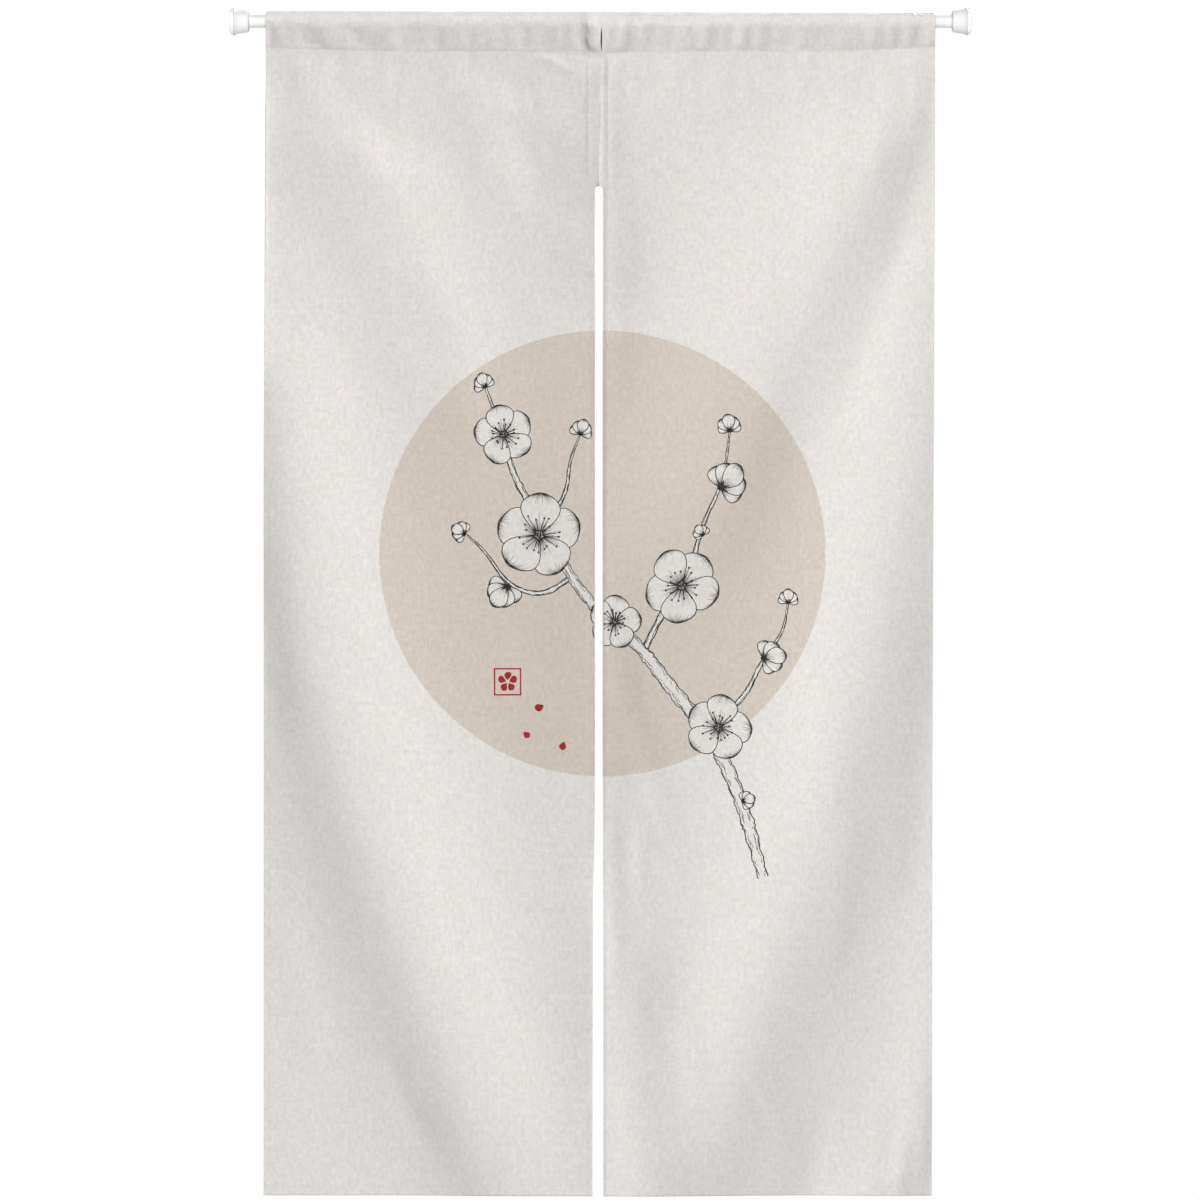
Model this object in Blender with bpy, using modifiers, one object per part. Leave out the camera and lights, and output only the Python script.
"""Noren curtain of two cloth panels on a tension rod, in the shape it hangs in.

The scene is in metres with +Z up. The sizes and tables below are in millimetres.
X runs along the rod from the left foot's outer face to the right foot's outer face.
Y is 0 and Z is 0 on the rod's axis, and the viewer's side is -Y.
"""
import math

import bmesh
import bpy
import numpy as np

MM = 0.001

# The rod. Both ends are alike.
ROD_LENGTH = 940.0
TUBE_RADIUS = 8.0
TUBE_WALL = 1.0
PIECE_GAP = 0.3
PAD_LENGTH = 4.3
CAP_LENGTH = 19.5
BORE_RADIUS = 8.4
BORE_DEPTH = 12.0
ROUND_STEPS = 40

# Half sections of the soft pad and of the plastic cap. Distances run from the wall inward.
PAD_PROFILE = (
    # along, radius
    (0.0, 0.0),
    (0.0, 14.8),
    (0.6, 16.0),
    (2.0, 17.0),
    (PAD_LENGTH, 17.4),
    (PAD_LENGTH, 0.0),
)
CAP_PROFILE = (
    # along, radius
    (0.0, 0.0),
    (0.0, 17.4),
    (0.4, 17.8),
    (1.1, 17.8),
    (2.2, 16.9),
    (4.0, 16.0),
    (8.0, 15.0),
    (18.8, 13.8),
    (CAP_LENGTH, 13.2),
    (CAP_LENGTH, BORE_RADIUS),
    (CAP_LENGTH - BORE_DEPTH, BORE_RADIUS),
    (CAP_LENGTH - BORE_DEPTH, 0.0),
)

# The cloth sheet and its turned-over hems.
CLOTH_THICK = 1.2
HEM_THICK = 2.0
HEM_STEP = 0.4
SIDE_HEM = 7.0
BOTTOM_HEM = 13.5
BODY_COLUMNS = 17

# The rod pocket. Its front and back layers stand a little apart at the stitch line.
POCKET_RADIUS = 9.7
CREASE_RADIUS = 2.0
LAYER_GAP = 0.4
FLAP_BELOW_STITCH = 6.0
POCKET_END_GAP = 1.5
ARC_STEPS = 4

# The pocket's top crease and its stitch line, with straight lines between the rows.
POCKET_CREASE = (
    # x, z
    (45.0, 13.1),
    (470.0, 11.9),
    (894.0, 10.5),
)
POCKET_STITCH = (
    # x, z
    (45.0, -33.7),
    (122.0, -36.2),
    (177.0, -37.5),
    (438.0, -38.8),
    (470.0, -41.3),
    (520.0, -38.8),
    (761.0, -38.0),
    (816.0, -36.2),
    (894.0, -33.1),
)

# The bottom hem, the round top of the slit between the panels, and the seam above it.
BOTTOM_Z = -1490.0
SLIT_TOP = -208.2
SEAM_GAP = 0.4

# Rows of the sheet below the stitch line. They are close where the slit begins.
HEMS_FROM_Z = -52.0
UPPER_ROWS = (-50.0, HEMS_FROM_Z, -85.0, -125.0, -165.0)
ROWS_BELOW_SLIT_TOP = (-6.0, -0.4, 0.0, 0.3, 1.1, 2.7, 5.5, 40.0)
BODY_ROW_PITCH = 47.0

# The panels' edges and the stitch lines of their inner hems, with straight lines between the rows.
LEFT_OUTER = (
    # z, x
    (-100.0, 45.4),
    (-610.0, 42.9),
    (BOTTOM_Z, 42.3),
)
RIGHT_OUTER = (
    # z, x
    (-50.0, 894.4),
    (-610.0, 892.0),
    (BOTTOM_Z, 890.0),
)
SEAM = (
    # z, x
    (-41.0, 471.0),
    (SLIT_TOP, 468.2),
)
LEFT_SLIT = (
    # z, x
    (-860.0, 462.7),
    (-1175.0, 461.6),
    (BOTTOM_Z, 459.4),
)
RIGHT_SLIT = (
    # z, x
    (SLIT_TOP, 473.6),
    (BOTTOM_Z, 472.7),
)
LEFT_INNER_HEM = (
    # z, x
    (-860.0, 454.8),
    (BOTTOM_Z, 451.8),
)
RIGHT_INNER_HEM = (
    # z, x
    (SLIT_TOP, 478.6),
    (BOTTOM_Z, 477.6),
)

# One row for each main fold. x is given at the fold's top, at half its drop and at its low end.
# left and right are the widths of its two flanks, and rise is how far it stands toward the viewer.
FOLDS = (
    # name, z_top, z_low, x_top, x_mid, x_low, left, right, rise_top, rise_low
    ("left long", -350.0, -1540.0, 45.0, 146.0, 390.0, 75.0, 105.0, 20.0, 15.0),
    ("right long", -300.0, -1540.0, 890.0, 778.0, 560.0, 85.0, 78.0, 13.0, 14.0),
    ("left high", -90.0, -540.0, 85.0, 238.0, 292.0, 90.0, 50.0, 9.0, 4.0),
    ("right high", 0.0, -660.0, 915.0, 737.0, 600.0, 100.0, 57.0, 10.0, 7.5),
    ("right low", -1150.0, -1545.0, 912.0, 880.0, 815.0, 45.0, 36.0, 3.0, 9.0),
    ("slit top", -60.0, -330.0, 470.0, 470.0, 468.0, 60.0, 60.0, 6.0, 5.0),
    ("slit low", -1150.0, -1545.0, 500.0, 515.0, 535.0, 75.0, 50.0, 6.0, 9.0),
)
FOLD_ONSET = 150.0
FADE_BEFORE = 0.2
FADE_AFTER = 0.25
FADE_LENGTH = 0.4
HANG_BACK = 4.0
SLIT_SWAY = 1.0
SWAY_WIDTH = 90.0

# Colour, roughness and metallic value of each finish.
FINISHES = {
    "cloth": ((0.70, 0.67, 0.64), 0.9, 0.0),
    "white_paint": ((0.86, 0.86, 0.87), 0.3, 0.0),
    "white_plastic": ((0.84, 0.84, 0.83), 0.35, 0.0),
    "soft_pad": ((0.80, 0.80, 0.78), 0.55, 0.0),
}


def clear_scene():
    """Empty the scene of every object."""
    for item in list(bpy.data.objects):
        bpy.data.objects.remove(item, do_unlink=True)


def make_frame():
    """The collection of all parts, and the empty on the rod's axis that carries them."""
    group = bpy.data.collections.new("noren_curtain")
    bpy.context.scene.collection.children.link(group)
    axis = bpy.data.objects.new("rod_axis", None)
    group.objects.link(axis)
    return group, axis


def finish(name):
    """The plain material of one finish, made once."""
    material = bpy.data.materials.get(name)
    if material is None:
        color, roughness, metallic = FINISHES[name]
        material = bpy.data.materials.new(name)
        material.use_nodes = True
        shader = material.node_tree.nodes["Principled BSDF"]
        shader.inputs["Base Color"].default_value = (*color, 1.0)
        shader.inputs["Roughness"].default_value = roughness
        shader.inputs["Metallic"].default_value = metallic
    return material


def place(name, mesh, frame, finish_name, location=(0.0, 0.0, 0.0), rotation=(0.0, 0.0, 0.0)):
    """Add a mesh to the curtain as a named part."""
    group, axis = frame
    if not mesh.materials:
        mesh.materials.append(finish(finish_name))
    item = bpy.data.objects.new(name, mesh)
    item.location = location
    item.rotation_euler = rotation
    item.parent = axis
    group.objects.link(item)
    return item


def profile_mesh(name, profile, closed=False):
    """A line of edges through (along, radius) points, drawn down the XZ plane beside the Z axis."""
    points = [(radius * MM, 0.0, along * MM) for along, radius in reversed(profile)]
    count = len(points)
    edges = [(index, (index + 1) % count) for index in range(count if closed else count - 1)]
    mesh = bpy.data.meshes.new(name)
    mesh.from_pydata(points, edges, [])
    return mesh


def turn(item):
    """Turn an object's profile once round its Z axis into a closed solid."""
    screw = item.modifiers.new("turn", "SCREW")
    screw.axis = "Z"
    screw.steps = ROUND_STEPS
    screw.render_steps = ROUND_STEPS
    screw.use_merge_vertices = True
    screw.merge_threshold = 0.000001
    screw.use_smooth_shade = True


def build_tube(frame):
    """The plain tube, which ends inside the bores of both caps."""
    start = PAD_LENGTH + PIECE_GAP + CAP_LENGTH - BORE_DEPTH + PIECE_GAP
    end = ROD_LENGTH - start
    inner = TUBE_RADIUS - TUBE_WALL
    profile = ((start, inner), (start, TUBE_RADIUS), (end, TUBE_RADIUS), (end, inner))
    mesh = profile_mesh("tube", profile, closed=True)
    turn(place("tube", mesh, frame, "white_paint", rotation=(0.0, math.pi / 2, 0.0)))


def build_feet(frame):
    """A soft pad and a flared cap at each end of the rod."""
    pad = profile_mesh("pad", PAD_PROFILE)
    cap = profile_mesh("cap", CAP_PROFILE)
    cap_start = PAD_LENGTH + PIECE_GAP
    for side, end, inward in (("left", 0.0, 1), ("right", ROD_LENGTH, -1)):
        rotation = (0.0, inward * math.pi / 2, 0.0)
        turn(place(side + "_pad", pad, frame, "soft_pad", (end * MM, 0.0, 0.0), rotation))
        seat = (end + inward * cap_start) * MM
        turn(place(side + "_cap", cap, frame, "white_plastic", (seat, 0.0, 0.0), rotation))


def look_up(table, value):
    """Read a two-column table at a value, with straight lines between its rows."""
    rows = sorted(table)
    return float(np.interp(value, [row[0] for row in rows], [row[1] for row in rows]))


def smooth_step(share):
    """Ease from 0 to 1 as the share goes from 0 to 1."""
    share = min(max(share, 0.0), 1.0)
    return share * share * (3.0 - 2.0 * share)


def ridge_rise(fold, x, z):
    """How far one fold stands toward the viewer at a point of the cloth."""
    _, z_top, z_low, x_top, x_mid, x_low, left, right, rise_top, rise_low = fold
    drop = (z - z_top) / (z_low - z_top)
    ridge_x = x_top * (1 - drop) * (1 - 2 * drop) + x_mid * 4 * drop * (1 - drop)
    ridge_x += x_low * drop * (2 * drop - 1)
    lean = x_top * (4 * drop - 3) + x_mid * (4 - 8 * drop) + x_low * (4 * drop - 1)
    lean /= z_low - z_top
    across = (x - ridge_x) / math.hypot(1.0, lean)
    width = left if across < 0 else right
    height = rise_top + (rise_low - rise_top) * min(max(drop, 0.0), 1.0)
    height *= smooth_step((drop + FADE_BEFORE) / FADE_LENGTH)
    height *= smooth_step((1.0 + FADE_AFTER - drop) / FADE_LENGTH)
    return height * math.exp(-(across / width) ** 2)


def cloth_depth(x, z, side):
    """Y of a panel's front surface below the stitch line."""
    onset = smooth_step((look_up(POCKET_STITCH, x) - z) / FOLD_ONSET)
    rise = sum(ridge_rise(fold, x, z) for fold in FOLDS)
    low = smooth_step((SLIT_TOP - z) / (SLIT_TOP - BOTTOM_Z))
    near_slit = math.exp(-((x - look_up(SEAM, z)) / SWAY_WIDTH) ** 2)
    flat = -(CLOTH_THICK + LAYER_GAP / 2)
    return flat + onset * (HANG_BACK - rise) + side * SLIT_SWAY * low * near_slit


def pocket_half(x):
    """The pocket's front half at x as (y, z) points, from the stitch line up to the crease."""
    stitch_y = -(CLOTH_THICK + LAYER_GAP / 2)
    stitch_z = look_up(POCKET_STITCH, x)
    toward_stitch = math.atan2(-stitch_y, stitch_z)
    low_angle = toward_stitch - math.acos(POCKET_RADIUS / math.hypot(stitch_y, stitch_z))
    round_z = look_up(POCKET_CREASE, x) - CREASE_RADIUS
    high_angle = math.acos((POCKET_RADIUS - CREASE_RADIUS) / round_z)
    arc = []
    for step in range(ARC_STEPS + 1):
        angle = low_angle + (high_angle - low_angle) * step / ARC_STEPS
        arc.append((-POCKET_RADIUS * math.sin(angle), POCKET_RADIUS * math.cos(angle)))
    halfway = ((stitch_y + arc[0][0]) / 2, (stitch_z + arc[0][1]) / 2)
    crease_y = -CREASE_RADIUS * math.sin(high_angle)
    crease_z = round_z + CREASE_RADIUS * math.cos(high_angle)
    return [(stitch_y, stitch_z), halfway] + arc + [(crease_y, crease_z)]


def pocket_section(x):
    """The pocket at x, from the flap's end up its back, over the crease and down its front."""
    front = pocket_half(x)
    back = [(-y, z) for y, z in front]
    flap_end = (back[0][0], back[0][1] - FLAP_BELOW_STITCH)
    crease = (0.0, look_up(POCKET_CREASE, x))
    return [flap_end] + back + [crease] + front[::-1]


def body_levels():
    """Heights of the rows below the stitch line."""
    levels = list(UPPER_ROWS) + [SLIT_TOP - drop for drop in ROWS_BELOW_SLIT_TOP]
    first = levels[-1]
    last = BOTTOM_Z + BOTTOM_HEM + HEM_STEP
    steps = round((first - last) / BODY_ROW_PITCH)
    levels += [first + (last - first) * step / steps for step in range(1, steps + 1)]
    return levels + [BOTTOM_Z + BOTTOM_HEM, BOTTOM_Z]


def inner_edge(z, slit_table, side):
    """X of a panel's inner edge below the pocket: the seam, the slit's round top, then the slit."""
    seam = look_up(SEAM, z)
    if z > SLIT_TOP:
        return seam + side * SEAM_GAP / 2
    opening = abs(look_up(slit_table, z) - seam)
    drop = min(SLIT_TOP - z, opening)
    reach = math.sqrt(opening * opening - (opening - drop) ** 2)
    return seam + side * max(reach, SEAM_GAP / 2)


def panel_columns(side, z, in_pocket=False):
    """X of every column of a panel at a height. side is -1 for the left panel, 1 for the right."""
    slit_table = LEFT_SLIT if side < 0 else RIGHT_SLIT
    inner = inner_edge(z, slit_table, side)
    if in_pocket:
        inner = look_up(SEAM, z) + side * POCKET_END_GAP
    if side < 0:
        left = look_up(LEFT_OUTER, z)
        edges = (left, left + SIDE_HEM, look_up(LEFT_INNER_HEM, z), inner)
    else:
        right = look_up(RIGHT_OUTER, z)
        edges = (inner, look_up(RIGHT_INNER_HEM, z), right - SIDE_HEM, right)
    start = edges[1] + HEM_STEP
    reach = edges[2] - HEM_STEP - start
    middle = [start + reach * step / BODY_COLUMNS for step in range(BODY_COLUMNS + 1)]
    return [edges[0], edges[1]] + middle + [edges[2], edges[3]]


def panel_rows(side):
    """The front surface of a panel as rows of points, from the flap's end to the bottom hem."""
    columns = panel_columns(side, 0.0, in_pocket=True)
    sections = [pocket_section(x) for x in columns]
    rows = []
    for level in range(len(sections[0])):
        rows.append([(x, *section[level]) for x, section in zip(columns, sections)])
    for z in body_levels():
        rows.append([(x, cloth_depth(x, z, side), z) for x in panel_columns(side, z)])
    return rows


def build_panel(name, side, frame):
    """One cloth panel: a sheet turned over the rod, with thicker hems on its back."""
    rows = panel_rows(side)
    last_row = len(rows) - 1
    last_column = len(rows[0]) - 1
    side_hems = (0, 1, last_column - 1, last_column)
    bottom_hem = (last_row - 1, last_row)
    mesh = bpy.data.meshes.new(name)
    sheet = bmesh.new()
    bmesh.ops.create_grid(sheet, x_segments=last_column, y_segments=last_row, size=1.0)
    hem_points = []
    for point in sheet.verts:
        column = round((point.co.x + 1.0) / 2.0 * last_column)
        row = round((1.0 - point.co.y) / 2.0 * last_row)
        x, y, z = rows[row][column]
        point.co = (x * MM, y * MM, z * MM)
        if z <= HEMS_FROM_Z and (column in side_hems or row in bottom_hem):
            hem_points.append(point.index)
    sheet.to_mesh(mesh)
    sheet.free()
    mesh.shade_smooth()
    panel = place(name, mesh, frame, "cloth")
    hems = panel.vertex_groups.new(name="hems")
    hems.add(hem_points, 1.0, "REPLACE")
    layer = panel.modifiers.new("cloth", "SOLIDIFY")
    layer.thickness = HEM_THICK * MM
    layer.offset = -1.0
    layer.vertex_group = "hems"
    layer.thickness_vertex_group = CLOTH_THICK / HEM_THICK
    layer.use_even_offset = True


def main():
    clear_scene()
    frame = make_frame()
    build_tube(frame)
    build_feet(frame)
    build_panel("left_panel", -1, frame)
    build_panel("right_panel", 1, frame)


main()
